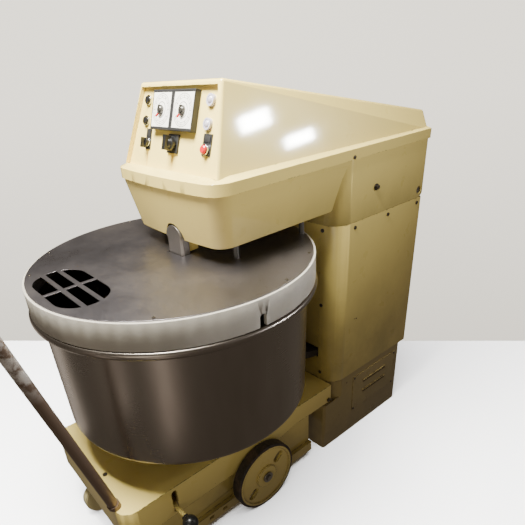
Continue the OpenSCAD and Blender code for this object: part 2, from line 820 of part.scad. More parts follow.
module head_solid(inset = 0) {
    open = inset > 0 ? 5 : 0;
    nose_solid(inset);
    translate([0, 0, seam_z - open]) linear_extrude(rim_z - seam_z + 2 * open) neck_plan(inset);
}

module head_housing() {
    piece(cream) {
        difference() {
            head_solid();
            head_solid(housing_wall);
            rear_relief();
            box(-half_w + housing_wall, half_w - housing_wall, tilt_y, column_rear + 1,
                seam_z - 1, tilt_z);
            translate([0, spiral_y, 0]) cylinder(r = housing_bore_r + 14, h = 2000);
            // Arch in the nose front for the breaker bar.
            translate([bar_x, 0, 0]) {
                box(-bar_w / 2 - notch_gap, bar_w / 2 + notch_gap, -60, bar_y + bar_t / 2 + notch_gap,
                    nose_z - 5, nose_z + 2);
                translate([0, -60, nose_z + 1]) rotate([-90, 0, 0])
                    cylinder(r = bar_w / 2 + notch_gap, h = 60 + bar_y + bar_t / 2 + notch_gap);
            }
            rod_x(-half_w - 1, half_w + 1, tilt_y, tilt_z, tilt_shaft_d / 2 + run_fit);
        }
        for (s = [-1, 1]) difference() {
            rod_x(s > 0 ? frame_x + 9 : -half_w + 1, s > 0 ? half_w - 1 : -frame_x - 9, tilt_y, tilt_z, 22);
            rod_x(-half_w - 1, half_w + 1, tilt_y, tilt_z, tilt_shaft_d / 2 + run_fit);
        }
    }
}

// Corners of the cover's body, each a small sphere's centre.
cover_edge_r = 11;
cover_foot_front_y = panel_foot_y - 8;

module cover_body(inset = 0) {
    r = max(cover_edge_r - inset, 2);
    d = inset + r;
    top_rear_z = cover_top_z - cover_drop;
    hull($fn = 28) {
        for (s = [-1, 1]) {
            translate([s * (cover_top_front_w / 2 - d), cover_front_y + d * 0.8, cover_top_z - d])
                sphere(r, $fn = 28);
            translate([s * (cover_top_rear_w / 2 - d), column_rear - 2 - d, top_rear_z - d])
                sphere(r, $fn = 28);
            translate([s * (half_w - 18 - d), cover_foot_front_y + d, ledge_z]) sphere(r, $fn = 28);
            translate([s * (half_w - 4 - d), column_rear - 2 - d, ledge_z - 4]) sphere(r, $fn = 28);
        }
    }
}

module rim_plan(inset = 0) {
    polygon(head_plan(half_w + rim_out - inset, rim_front_y + inset, rim_bow, rim_corner_r - inset,
        column_rear + 2 - inset));
}

// Sloped ledge between the rim band and the cover's body.
module cover_ledge(inset = 0) {
    hull() {
        translate([0, 0, ledge_z - 2 - inset]) linear_extrude(1) rim_plan(inset);
        translate([0, 0, ledge_z - inset]) linear_extrude(1) rim_plan(3 + inset);
        translate([0, 0, ledge_z + 14 - inset]) linear_extrude(1) translate([0, 20]) rim_plan(34 + inset);
    }
}

// Trapezoid of the control panel's recess, in the panel's plane.
recess_top_hw = cover_top_front_w / 2 - 13;
recess_foot_hw = half_w - 24;
recess_foot_s = -8;
recess_top_s = panel_rise - 13;

module recess_plan(grow = 0) {
    polygon([
        [-recess_foot_hw - grow, recess_foot_s - grow], [recess_foot_hw + grow, recess_foot_s - grow],
        [recess_top_hw + grow, recess_top_s + grow], [-recess_top_hw - grow, recess_top_s + grow]
    ]);
}

module head_cover() {
    piece(cream) difference() {
        union() {
            difference() {
                union() {
                    translate([0, 0, rim_z]) linear_extrude(rim_h - 2) rim_plan();
                    cover_ledge();
                    cover_body();
                }
                translate([0, 0, rim_z - 1]) linear_extrude(rim_h - 4) rim_plan(cover_wall);
                cover_ledge(cover_wall);
                cover_body(cover_wall);
            }
            intersection() {
                on_panel(0, 0, 0) linear_extrude(recess + 6) difference() {
                    recess_plan(3);
                    recess_plan();
                }
                cover_body(1);
            }
        }
        on_panel(0, 0, 0) linear_extrude(recess + 60) recess_plan();
        on_panel(0, 0, -3) linear_extrude(3) recess_plan(3.2);
    }
}

module control_panel() {
    piece(cream) on_panel(0, 0, -3) difference() {
        linear_extrude(3) recess_plan(3);
        for (x = [-1, 1]) translate([x * timer_x, timer_s, -1]) cylinder(r = 30, h = 5);
        for (s = button_s) translate([-button_x, s, -1]) cylinder(r = button_bore + 0.5, h = 5);
    }
}

module head_frame() {
    inner = half_w - housing_wall;
    neck_y = column_front + column_corner_r;
    piece(steel) difference() {
        union() {
            box(-nose_floor_w / 2 + 6, nose_floor_w / 2 - 6, 80, neck_y + 1, head_plate_z,
                head_plate_z + head_plate_t);
            box(-inner, inner, neck_y, tilt_y - 10, head_plate_z, head_plate_z + head_plate_t);
            for (s = [-1, 1]) box(s > 0 ? inner - 12 : -inner, s > 0 ? inner : -inner + 12,
                neck_y, tilt_y - 60, head_plate_z - 60, head_plate_z);
            plate_yz(lift_x - 12, 24) {
                translate([lift_top_y, lift_top_z]) circle(22);
                translate([lift_top_y - 22, lift_top_z]) square([44, head_plate_z - lift_top_z]);
            }
            rod_x(lift_x - 13, lift_x + 13, lift_top_y, lift_top_z, lift_pin_d / 2);
        }
        translate([0, spiral_y, head_plate_z - 1])
            cylinder(r = housing_bore_r + 10 + roll_gap, h = head_plate_t + 2);
        translate([0, motor_y, head_plate_z - 1]) cylinder(r = 44, h = head_plate_t + 2);
    }
}

module spiral_motor() {
    body_h = head_plate_z - motor_bottom_z;
    piece("#9aa3a6") translate([0, motor_y, motor_bottom_z]) {
        cylinder(r = motor_r - 6, h = body_h - 14);
        for (a = [0:15:345]) rotate([0, 0, a]) translate([motor_r - 8, -1.5, 16]) cube([8, 3, body_h - 46]);
        translate([0, 0, body_h - 14]) cylinder(r = motor_r, h = 14);
        translate([0, 0, body_h - 2]) cylinder(r = 43, h = head_plate_t + 4);
    }
}

module spiral_bearing_housing() {
    piece("#8f8a7c") difference() {
        union() {
            translate([0, spiral_y, nose_z - 30])
                cylinder(r = housing_bore_r + 10, h = head_plate_z - nose_z + 30 + head_plate_t + 4);
            translate([0, spiral_y, head_plate_z - 16]) cylinder(r = housing_bore_r + 34, h = 16);
        }
        translate([0, spiral_y, nose_z - 24]) cylinder(r = housing_bore_r, h = 400);
        translate([0, spiral_y, nose_z - 40]) cylinder(r = shaft_r + 4, h = 400);
    }
}

module spiral_bearings() {
    piece("#b9bcc0") for (z = [nose_z - 24, head_plate_z - 12]) translate([0, spiral_y, z])
        tube(housing_bore_r, shaft_r + run_fit, 26);
}

// Grooved belt wheel with a hub and a web, bottom face at z = 0.
module belt_wheel(r, bore, web) {
    difference() {
        union() {
            cylinder(r = r, h = pulley_h, $fn = 96);
        }
        for (i = [0:belts - 1]) translate([0, 0, 6 + i * belt_pitch + 1])
            tube(r + 5, r - belt_depth - 1, belt_pitch - 4, $fn = 96);
        if (web) for (z = [-1, pulley_h - 20]) translate([0, 0, z]) tube(r - belt_depth - 14, 62, 21);
        translate([0, 0, -1]) cylinder(r = bore, h = pulley_h + 2);
    }
}

module spiral_pulley() {
    piece(steel) translate([0, spiral_y, pulley_z]) belt_wheel(pulley_r, shaft_r, true);
}

module motor_pulley() {
    piece(steel) translate([0, motor_y, pulley_z]) {
        belt_wheel(motor_pulley_r, 14, false);
        translate([0, 0, -8]) cylinder(r = 14, h = pulley_h + 12);
    }
}

module drive_belts() {
    dist = motor_y - spiral_y;
    grip = belt_depth - 0.4;
    piece(dark) for (i = [0:belts - 1])
        translate([0, spiral_y, pulley_z + 6 + i * belt_pitch + 1.6]) linear_extrude(belt_pitch - 5.2)
            difference() {
                loop_outline(pulley_r - 0.6, motor_pulley_r - 0.6, dist);
                loop_outline(pulley_r - grip, motor_pulley_r - grip, dist);
            }
}

module spiral_shaft() {
    piece(steel) translate([0, spiral_y, 0]) {
        translate([0, 0, hub_top_z]) cylinder(r = shaft_r, h = pulley_z + pulley_h - hub_top_z + 4);
        translate([0, 0, pulley_z + pulley_h + 4]) cylinder(r = shaft_r + 8, h = 10);
    }
}

// Helix of the spiral: it leaves the hub, opens to full radius and runs down to the bowl's floor.
spiral_steps = 64;
spiral_top_z = hub_top_z - 60;
spiral_foot_z = tool_z + rod_d / 2;
function hook_r(t) = spiral_r - (spiral_r - 34) * pow(max(0, 1 - t / 0.3), 2);
function hook_z(t) = spiral_top_z + (spiral_foot_z - spiral_top_z) * min(1, t * 1.06);
hook_path = [for (i = [0:spiral_steps]) let (t = i / spiral_steps, a = -60 - 360 * spiral_turns * t)
    [hook_r(t) * cos(a), hook_r(t) * sin(a), hook_z(t)]];

module spiral_hook() {
    piece("#a9abad") translate([0, spiral_y, 0]) {
        translate([0, 0, hub_top_z - 110]) cylinder(r = hub_r, h = 110);
        translate([0, 0, hub_top_z - 122]) cylinder(r1 = hub_r - 14, r2 = hub_r, h = 12);
        swept_bar(hook_path, rod_d / 2);
    }
}

module breaker_bar() {
    r = bar_w / 2;
    y0 = bar_y - bar_t / 2;
    top = bar_top_z - r;
    piece("#8c8a88") difference() {
        union() {
            box(bar_x - r, bar_x + r, y0, y0 + bar_t, tool_z + 10, top);
            translate([bar_x, y0, top]) rotate([-90, 0, 0]) cylinder(r = r, h = bar_t);
        }
        for (s = [-1, 1]) translate([bar_x + s * r, y0, tool_z]) rotate([0, 0, 45])
            translate([-5, -5, -5]) cube([10, 10, top - tool_z + 5]);
    }
}

module bar_bracket() {
    y0 = bar_y + bar_t / 2;
    piece(cream) difference() {
        box(bar_x - 32, bar_x + 32, y0, y0 + 40, lid_z + 8, nose_z);
        for (z = [26, 48]) translate([bar_x, y0 - 1, lid_z + z]) rotate([-90, 0, 0]) cylinder(r = 5, h = 12);
    }
}

// Lid ---------------------------------------------------------------------------------

module window_plan() {
    end = window_w / 2;
    translate([0, -window_y]) difference() {
        union() {
            square([window_l - 2 * end, window_w], center = true);
            for (s = [-1, 1]) translate([s * (window_l / 2 - end), 0]) circle(end);
        }
        for (y = [-25, 27]) translate([0, y]) square([window_l + 2, grid_bar], center = true);
        square([grid_bar, window_w + 2], center = true);
    }
}

module lid_disc() {
    piece("#9c9a96") translate([0, 0, lid_z]) linear_extrude(lid_t) difference() {
        circle(lid_r, $fn = 180);
        window_plan();
        translate([0, spiral_y]) circle(housing_bore_r + 18);
        translate([bar_x, bar_y]) square([bar_w + 6, bar_t + 6], center = true);
    }
}

slot_angle = -3.2;

module lid_ring() {
    piece("#e9e8e4") translate([0, 0, skirt_z]) difference() {
        tube(skirt_r, skirt_r - skirt_wall, skirt_h, $fn = 180);
        rotate([0, 0, slot_angle]) translate([skirt_r - 30, 0, -1]) {
            translate([0, -11, 0]) cube([60, 22, 28]);
            translate([0, 0, 28]) rotate([0, 90, 0]) cylinder(r = 11, h = 60);
        }
    }
}

module lid_standoffs() {
    piece(steel) for (s = [-1, 1], y = [110, 400]) translate([s * 205, y, lid_z + lid_t])
        cylinder(r = 9, h = nose_z - lid_z - lid_t);
}

lid_screw_angles = [11.7, 38.4, 90, 141.6, 168.3, 218.7, 244.6, 321.3];

module head_screws() {
    piece(dark) {
        for (a = lid_screw_angles) rotate([0, 0, a]) translate([lid_r - 13, 0, lid_z + lid_t + 0.02])
            screw_head(5, 2.5);
        for (s = [-1, 1]) {
            translate([s * (half_w + rim_out), column_front + 63, rim_z + 8]) rotate([0, s * 90, 0])
                screw_head(6);
            translate([s * half_w, lift_top_y, lift_top_z]) rotate([0, s * 90, 0]) {
                cylinder(r = 12, h = 3);
                cylinder(r = 8, h = 11, $fn = 6);
            }
        }
    }
}

// Controls ----------------------------------------------------------------------------

timer_s = 161;
timer_x = 57;
timer_face = 96;
box_w = 218;
box_h = 112;
box_d = 20;
button_x = 163;
button_s = [191, 130];
button_bore = 9;
selector_x = -141;
selector_s = 65;
rotary_x = 6;
rotary_s = 69;
stop_x = 170;
stop_s = 63;

module timer_box() {
    piece(dark) on_panel(0, timer_s, 0) difference() {
        translate([-box_w / 2, -box_h / 2, 0]) cube([box_w, box_h, box_d]);
        for (x = [-1, 1]) {
            translate([x * timer_x - timer_face / 2, -timer_face / 2, box_d - 3])
                cube([timer_face, timer_face, 4]);
            translate([x * timer_x, 0, -1]) cylinder(r = 6 + run_fit, h = box_d);
        }
    }
}

module timer_dials() {
    piece("#f2f1ec") for (x = [-1, 1]) on_panel(x * timer_x, timer_s, box_d - 3) difference() {
        translate([-timer_face / 2, -timer_face / 2, 0]) cube([timer_face, timer_face, 2.5]);
        translate([0, 0, -1]) cylinder(r = 6 + run_fit, h = 5);
    }
}

module timer_knob(x) {
    piece("#8b8b88") on_panel(x, timer_s, box_d) {
        translate([0, 0, -12]) cylinder(r = 6, h = 13);
        translate([0, 0, 0.4]) cylinder(r = 13, h = 6);
        translate([0, 0, 6]) cylinder(r1 = 11, r2 = 8, h = 4);
        translate([-2.5, -12, 6]) cube([5, 24, 6]);
    }
}

module timer_knob_left() { timer_knob(-timer_x); }
module timer_knob_right() { timer_knob(timer_x); }

module button_rings() {
    piece("#c9cbcc") {
        for (s = button_s) on_panel(-button_x, s) {
            tube(15, button_bore + 3, 7);
            tube(button_bore + 3, button_bore + run_fit, 3);
        }
        on_panel(stop_x, stop_s, 3) tube(15, 12 + run_fit, 8);
        on_panel(selector_x, selector_s, 3) tube(13, 8 + run_fit, 5);
    }
}

module start_button(s) {
    piece(dark) on_panel(-button_x, s) {
        translate([0, 0, 0.5]) cylinder(r = button_bore, h = 7);
        translate([0, 0, 6.6]) cylinder(r1 = button_bore + 2.6, r2 = button_bore + 1.6, h = 5);
    }
}

module start_button_upper() { start_button(button_s[0]); }
module start_button_lower() { start_button(button_s[1]); }

module pilot_lamps() {
    piece("#c9cbcc") for (s = button_s) on_panel(button_x, s) tube(16, 11, 9);
    piece("#b9b6cc") for (s = button_s) on_panel(button_x, s) {
        cylinder(r = 11, h = 7);
        translate([0, 0, 7]) intersection() {
            translate([0, 0, -8]) sphere(13.6);
            cylinder(r = 11, h = 10);
        }
    }
}

module switch_plates() {
    piece(dark) {
        on_panel(selector_x, selector_s) translate([-14, -20, 0]) cube([28, 62, 3]);
        on_panel(rotary_x, rotary_s) difference() {
            translate([-27, -27, 0]) cube([54, 54, 6]);
            translate([0, 0, 2]) cylinder(r = 10 + run_fit, h = 5);
        }
        on_panel(stop_x, stop_s) difference() {
            translate([-19, -16, 0]) cube([38, 58, 3]);
            translate([0, 0, -1]) cylinder(r = 12.5, h = 5);
        }
    }
    piece("#a6a6a4") {
        on_panel(stop_x, stop_s + 28, 3) translate([-14, -8, 0]) cube([28, 16, 2]);
        on_panel(selector_x, selector_s + 28, 3) translate([-11, -8, 0]) cube([22, 16, 1.5]);
    }
}

module stop_button() {
    piece("#c9202a") on_panel(stop_x, stop_s, 3) {
        translate([0, 0, 0.5]) cylinder(r = 12, h = 12);
        translate([0, 0, 12.5]) cylinder(r1 = 12, r2 = 9, h = 3);
    }
}

module selector_knob() {
    piece(dark) on_panel(selector_x, selector_s, 3) {
        translate([0, 0, 0.4]) cylinder(r = 8, h = 6);
        translate([0, 0, 5.6]) cylinder(r = 12, h = 8);
        translate([-4, -17, 9]) cube([8, 30, 16]);
    }
}

module rotary_knob() {
    piece(dark) on_panel(rotary_x, rotary_s, 0) {
        translate([0, 0, 2.4]) cylinder(r = 10, h = 6);
        translate([0, 0, 6.4]) cylinder(r = 21, h = 14);
        translate([-8, -21, 18]) cube([16, 42, 20]);
        translate([0, 0, 20]) cylinder(r1 = 16, r2 = 12, h = 8);
    }
}

// Head lift ---------------------------------------------------------------------------

// Places its children on the lift's line: z runs from the foot pin to the top pin.
module on_lift() {
    translate([lift_x, lift_foot_y, lift_foot_z]) rotate([lift_lean, 0, 0]) children();
}

module lift_barrel() {
    piece("#7b7f80") difference() {
        union() {
            on_lift() translate([0, 0, 34]) cylinder(r = barrel_r, h = barrel_l - 34);
            on_lift() translate([0, 0, barrel_l]) cylinder(r = barrel_r - 8, h = 12);
            rod_x(lift_x - lift_w / 2, lift_x + lift_w / 2, lift_foot_y, lift_foot_z, 26);
            on_lift() translate([-lift_w / 2, -20, 0]) cube([lift_w, 40, 40]);
        }
        rod_x(lift_x - 60, lift_x + 60, lift_foot_y, lift_foot_z, lift_pin_d / 2 + run_fit);
        on_lift() translate([0, 0, 60]) cylinder(r = 36, h = barrel_l - 90);
        on_lift() translate([0, 0, barrel_l - 60]) cylinder(r = lift_rod_r + run_fit, h = 100);
    }
}

module lift_rod() {
    piece("#c4c8ca") difference() {
        union() {
            on_lift() translate([0, 0, 110]) cylinder(r = lift_rod_r, h = lift_l - 110 - 40);
            on_lift() translate([0, 0, 100]) cylinder(r = 35.9, h = 26);
            on_lift() translate([-26, -18, lift_l - 52]) cube([52, 36, 14]);
            for (x = [-26, 16]) on_lift() translate([x, -18, lift_l - 40]) cube([10, 36, 54]);
        }
        on_lift() translate([-40, 0, lift_l]) rotate([0, 90, 0]) cylinder(r = lift_pin_d / 2 + 2, h = 80);
    }
}

base_plinth();
vent_panels();
column_frame();
column_panel_right();
column_panel_left();
column_front_plate();
column_back_panel();
frame_screws();
bowl_motor();
truck_deck();
truck_chassis();
wheel_axle();
bowl_bearing_housing();
bowl_bearings();
push_handle();
head_housing();
head_cover();
control_panel();
head_frame();
spiral_motor();
spiral_bearing_housing();
spiral_bearings();
drive_belts();
breaker_bar();
bar_bracket();
lid_disc();
lid_ring();
lid_standoffs();
head_screws();
timer_box();
timer_dials();
button_rings();
pilot_lamps();
switch_plates();
spiral_hook();
spiral_shaft();
spiral_pulley();
motor_pulley();
bowl();
bowl_turntable();
drive_roller();
lift_barrel();
lift_rod();
wheel_right();
tyre_right();
wheel_left();
tyre_left();
caster_fork_right();
caster_wheel_right();
caster_fork_left();
caster_wheel_left();
lock_lever();
lever_knob();
start_button_upper();
start_button_lower();
stop_button();
selector_knob();
rotary_knob();
timer_knob_left();
timer_knob_right();
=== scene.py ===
"""Looks of a spiral dough mixer: paint, steel and plastic on its CAD parts, dials, studio and camera."""

import json
import math

import bpy
from mathutils import Matrix, Vector


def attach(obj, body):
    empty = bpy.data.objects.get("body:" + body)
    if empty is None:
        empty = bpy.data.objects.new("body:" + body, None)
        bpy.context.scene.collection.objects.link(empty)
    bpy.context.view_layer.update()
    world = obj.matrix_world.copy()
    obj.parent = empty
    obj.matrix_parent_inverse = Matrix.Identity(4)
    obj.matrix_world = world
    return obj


bl_info = {
    "name": "Spiral Dough Mixer",
    "version": (1, 0, 0),
    "blender": (4, 5, 0),
    "location": "View3D > Sidebar > Mixer",
    "description": "Finishes and details of a spiral dough mixer, with its studio",
    "category": "Object",
}

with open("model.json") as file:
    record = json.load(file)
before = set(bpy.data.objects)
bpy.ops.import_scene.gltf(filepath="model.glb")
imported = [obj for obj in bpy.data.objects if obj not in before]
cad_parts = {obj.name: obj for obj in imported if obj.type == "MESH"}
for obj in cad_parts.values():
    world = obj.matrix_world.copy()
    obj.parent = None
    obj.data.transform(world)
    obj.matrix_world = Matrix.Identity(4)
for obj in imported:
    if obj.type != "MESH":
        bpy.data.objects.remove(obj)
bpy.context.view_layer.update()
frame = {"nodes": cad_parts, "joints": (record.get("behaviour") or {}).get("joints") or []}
NODES = frame["nodes"]
JOINTS = {joint["name"]: joint for joint in frame["joints"]}

# Places and sizes, in metres
DIAL_FACE = 0.0195  # height of the dials' faces above the floor of the panel's recess
DIAL_RINGS = ((0.0445, 0.0006), (0.033, 0.0004), (0.022, 0.0009))  # radius and half width
POINTER_ANGLE = math.radians(215)
POINTER_REACH = (0.012, 0.032)
# Painted shadows below the rotary and selector knobs: how far below each knob they start, their length and
# width
SHADOW_BELOW_KNOB = 0.03
SHADOW_LENGTH = 0.055
SHADOW_WIDTH = 0.006
HANDLE_GRIP = (0.80, 0.90)  # heights between which the handle's lacquer is rubbed off
WALL_FOOT = (Vector((-1.845, -0.509, 0)), Vector((0.494, 1.703, 0)))  # where the wall meets the floor
CAMERA_PLACE = (1.2703, -0.9434, 1.5126)
CAMERA_ANGLES = (0.945, -0.498, -0.098)  # yaw, pitch and roll, in radians
CAMERA_SHIFT = (0.0834, 0.1079)


# Colour and shader helpers


def linear(code):
    """An sRGB hex colour as linear RGBA."""
    values = [int(code[i : i + 2], 16) / 255 for i in (0, 2, 4)]
    return tuple(v / 12.92 if v <= 0.04045 else ((v + 0.055) / 1.055) ** 2.4 for v in values) + (1.0,)


def add(tree, kind, settings=None, links=None):
    """Adds a shader node, sets its properties and input values, and links its inputs."""
    made = tree.nodes.new(kind)
    for key, value in (settings or {}).items():
        if isinstance(key, str) and hasattr(made, key):
            setattr(made, key, value)
        else:
            made.inputs[key].default_value = value
    for key, source in (links or {}).items():
        tree.links.new(source, made.inputs[key])
    return made


def math_of(tree, operation, first, second=0.5, clamp=True):
    """The result of a sum on one output and a number, or on two outputs."""
    links, settings = {0: first}, {"operation": operation, "use_clamp": clamp}
    if isinstance(second, bpy.types.NodeSocket):
        links[1] = second
    else:
        settings[1] = second
    return add(tree, "ShaderNodeMath", settings, links).outputs[0]


def remap(tree, source, low, high, to_low=0.0, to_high=1.0):
    """A value stretched from one range to another, held within it."""
    settings = {"From Min": low, "From Max": high, "To Min": to_low, "To Max": to_high}
    return add(tree, "ShaderNodeMapRange", settings, {"Value": source}).outputs[0]


def blend_colours(tree, factor, first, second):
    """Two colours mixed by an output; each is an output or a linear colour."""
    settings, links = {"data_type": "RGBA"}, {0: factor}
    for key, colour in ((6, first), (7, second)):
        if isinstance(colour, bpy.types.NodeSocket):
            links[key] = colour
        else:
            settings[key] = colour
    return add(tree, "ShaderNodeMix", settings, links).outputs[2]


def noise(tree, coords, scale, detail=3.0, roughness=0.55, stretch=None):
    """Noise with so many features to the metre, stretched along the axes if asked."""
    if stretch:
        coords = add(tree, "ShaderNodeMapping", {"Scale": stretch}, {"Vector": coords}).outputs[0]
    settings = {"Scale": scale, "Detail": detail, "Roughness": roughness}
    return add(tree, "ShaderNodeTexNoise", settings, {"Vector": coords}).outputs["Fac"]


def start_material(name):
    """A new material's tree, its Principled shader and its object coordinates in metres."""
    material = bpy.data.materials.new(name)
    material.use_nodes = True
    tree = material.node_tree
    shader = tree.nodes["Principled BSDF"]
    coords = add(tree, "ShaderNodeTexCoord").outputs["Object"]
    return material, tree, shader, coords


def put(shader, **values):
    """Sets a Principled shader's inputs by name, with _ for a space."""
    for name, value in values.items():
        shader.inputs[name.replace("_", " ")].default_value = value


def bump(tree, shader, height, strength, distance):
    """Feeds a height to the shader's normal."""
    settings = {"Strength": strength, "Distance": distance}
    made = add(tree, "ShaderNodeBump", settings, {"Height": height})
    tree.links.new(made.outputs[0], shader.inputs["Normal"])


def edge_mask(tree, radius):
    """1 on convex and concave edges within a radius, 0 on flats."""
    soft = add(tree, "ShaderNodeBevel", {"samples": 4, "Radius": radius}).outputs[0]
    flat = add(tree, "ShaderNodeNewGeometry").outputs["Normal"]
    same = add(tree, "ShaderNodeVectorMath", {"operation": "DOT_PRODUCT"}, {0: soft, 1: flat})
    return remap(tree, same.outputs["Value"], 0.995, 0.86)


# Materials


def paint(name, settings, tone="main", low_shade=(0.0, 0.0), chips=0.0, knob_shadows=()):
    """Old gloss enamel: cream with a faint orange peel, painted shade darkening it in patches low down, chips
    on worn edges, and painted shadows where asked.
    """
    material, tree, shader, coords = start_material(name)
    base = settings.cream[:] if tone == "main" else settings.dark_cream[:]
    cloudy = remap(tree, noise(tree, coords, 2.3, 4), 0.35, 0.7)
    colour = blend_colours(tree, math_of(tree, "MULTIPLY", cloudy, 0.3), base, linear("D9C272"))
    rough = remap(tree, noise(tree, coords, 14, 4), 0.3, 0.75, 0.26, 0.4)
    # Painted shade: the colour darkens in patches to a dark olive brown below the given heights, standing in
    # for the light falling off low down.
    if low_shade[1] > 0:
        height = add(tree, "ShaderNodeSeparateXYZ", links={"Vector": coords}).outputs["Z"]
        low = remap(tree, height, low_shade[1], low_shade[0])
        patchy = remap(tree, noise(tree, coords, 5, 5, 0.62), 0.2, 0.62, 0.45, 1.0)
        shading = math_of(tree, "MULTIPLY", low, patchy)
        shading = math_of(tree, "MULTIPLY", shading, settings.low_shade)
        colour = blend_colours(tree, shading, colour, linear("5B4E30"))
    if chips > 0:
        edges = edge_mask(tree, 0.005)
        spots = remap(tree, noise(tree, coords, 55, 6, 0.7), 0.6 - 0.16 * chips, 0.66 - 0.16 * chips)
        worn = math_of(tree, "MULTIPLY", edges, spots)
        flecks = remap(tree, noise(tree, coords, 24, 5, 0.66), 0.745 - 0.03 * chips, 0.765 - 0.03 * chips)
        worn = math_of(tree, "MAXIMUM", worn, flecks)
        colour = blend_colours(tree, worn, colour, linear("4A3B26"))
        rough = math_of(tree, "MAXIMUM", rough, math_of(tree, "MULTIPLY", worn, 0.7))
    # Painted shadows, in a brown, running down below the knobs.
    for place, length, width in knob_shadows:
        painted_shadow = knob_shadow_mask(tree, coords, place, length, width)
        colour = blend_colours(tree, painted_shadow, colour, linear("B98A3E"))
    tree.links.new(colour, shader.inputs["Base Color"])
    tree.links.new(rough, shader.inputs["Roughness"])
    bump(tree, shader, noise(tree, coords, 260, 2), 0.05, 0.0006)
    put(shader, IOR=1.5, Specular_IOR_Level=0.12, Coat_Weight=0.9, Coat_Roughness=0.07)
    return material


def knob_shadow_mask(tree, coords, place, length, width):
    """A thin painted shadow that runs down from a place, fading as it goes."""
    local = add(
        tree, "ShaderNodeVectorMath", {"operation": "SUBTRACT", 1: tuple(place)}, {0: coords}
    ).outputs[0]
    parts = add(tree, "ShaderNodeSeparateXYZ", links={"Vector": local})
    wander = remap(tree, noise(tree, coords, 30, 3), 0.2, 0.8, -width * 0.6, width * 0.6)
    across = math_of(tree, "ADD", parts.outputs["X"], wander, clamp=False)
    across = remap(tree, math_of(tree, "ABSOLUTE", across, clamp=False), width, width * 0.25)
    down = remap(tree, parts.outputs["Z"], -length, 0.0)
    below = remap(tree, parts.outputs["Z"], 0.004, 0.0)
    mask = math_of(tree, "MULTIPLY", math_of(tree, "MULTIPLY", across, down), below)
    return math_of(tree, "MULTIPLY", mask, 0.75)


def spun_steel(name, code, rough, grain, anisotropic=0.6):
    """Polished steel with fine marks that run round its axis, and brown smudges."""
    material, tree, shader, coords = start_material(name)
    fine = noise(tree, coords, grain, 3, 0.6, (0.06, 0.06, 7.0))
    smudge = noise(tree, coords, 3.0, 4, 0.55, (1.0, 1.0, 0.3))
    marks = remap(tree, fine, 0.3, 0.7, rough * 0.98, rough * 1.02)
    hazy = remap(tree, smudge, 0.4, 0.75, 0.0, 0.08)
    rough_out = math_of(tree, "ADD", marks, hazy)
    stained = remap(tree, smudge, 0.45, 0.75, 0.0, 0.45)
    colour = blend_colours(tree, stained, linear(code), linear("5E5045"))
    tree.links.new(colour, shader.inputs["Base Color"])
    tree.links.new(rough_out, shader.inputs["Roughness"])
    tangent = add(tree, "ShaderNodeTangent", {"direction_type": "RADIAL", "axis": "Z"}).outputs[0]
    tree.links.new(tangent, shader.inputs["Tangent"])
    put(shader, Metallic=1.0, Anisotropic=anisotropic)
    return material


def brushed_steel(name, code, rough, stretch, grain=60):
    """Sheet or bar steel, brushed one way, with hand-worn cloudy patches."""
    material, tree, shader, coords = start_material(name)
    brush = noise(tree, coords, grain, 4, 0.62, stretch)
    cloud = noise(tree, coords, 3.2, 5, 0.6)
    colour = blend_colours(tree, remap(tree, cloud, 0.42, 0.75, 0.0, 0.55), linear(code), linear("7B7166"))
    marks = remap(tree, brush, 0.3, 0.7, rough * 0.85, rough * 1.15)
    smeared = remap(tree, cloud, 0.3, 0.7, 0.0, 0.16)
    rough_out = math_of(tree, "ADD", marks, smeared)
    tree.links.new(colour, shader.inputs["Base Color"])
    tree.links.new(rough_out, shader.inputs["Roughness"])
    bump(tree, shader, brush, 0.06, 0.0003)
    put(shader, Metallic=1.0)
    return material


def plain(name, code, rough=0.4, metallic=0.0, **values):
    """A uniform finish whose roughness varies a little."""
    material, tree, shader, coords = start_material(name)
    put(shader, Base_Color=linear(code), Metallic=metallic)
    if metallic < 0.5:
        put(shader, IOR=1.5)
    put(shader, **values)
    uneven = 0.08
    grain = noise(tree, coords, 90, 3)
    spread = remap(tree, grain, 0.3, 0.7, max(rough - uneven, 0.02), rough + uneven)
    tree.links.new(spread, shader.inputs["Roughness"])
    return material


def skirt_plastic(settings):
    """White polyethylene of the lid's skirt, slightly translucent, with flour haze and grey scuffs."""
    material, tree, shader, coords = start_material("white_polyethylene")
    haze = noise(tree, coords, 6, 5, 0.6)
    hazed = remap(tree, haze, 0.42, 0.72, 0.0, 0.6)
    colour = blend_colours(tree, hazed, settings.skirt[:], linear("8E887E"))
    tree.links.new(colour, shader.inputs["Base Color"])
    tree.links.new(remap(tree, haze, 0.3, 0.7, 0.28, 0.46), shader.inputs["Roughness"])
    put(shader, IOR=1.51, Subsurface_Weight=0.25, Subsurface_Scale=0.3)
    put(shader, Subsurface_Radius=(0.02, 0.018, 0.015))
    return material


def worn_tube():
    """Steel tube under old brown lacquer, rubbed bright where hands hold it near the top."""
    material, tree, shader, coords = start_material("worn_handle_steel")
    height = add(tree, "ShaderNodeSeparateXYZ", links={"Vector": coords}).outputs["Z"]
    held = remap(tree, height, *HANDLE_GRIP)
    patches = remap(tree, noise(tree, coords, 28, 5, 0.65), 0.42, 0.58)
    bare = math_of(tree, "MULTIPLY", held, patches)
    flecks = remap(tree, noise(tree, coords, 45, 4, 0.6, (1, 1, 0.4)), 0.68, 0.74, 0.0, 0.5)
    bare = math_of(tree, "MAXIMUM", bare, flecks)
    colour = blend_colours(tree, bare, linear("78665A"), linear("E2DDDB"))
    tree.links.new(colour, shader.inputs["Base Color"])
    tree.links.new(remap(tree, bare, 0.0, 1.0, 0.38, 0.24), shader.inputs["Roughness"])
    put(shader, Metallic=0.55)
    return material


# Pieces


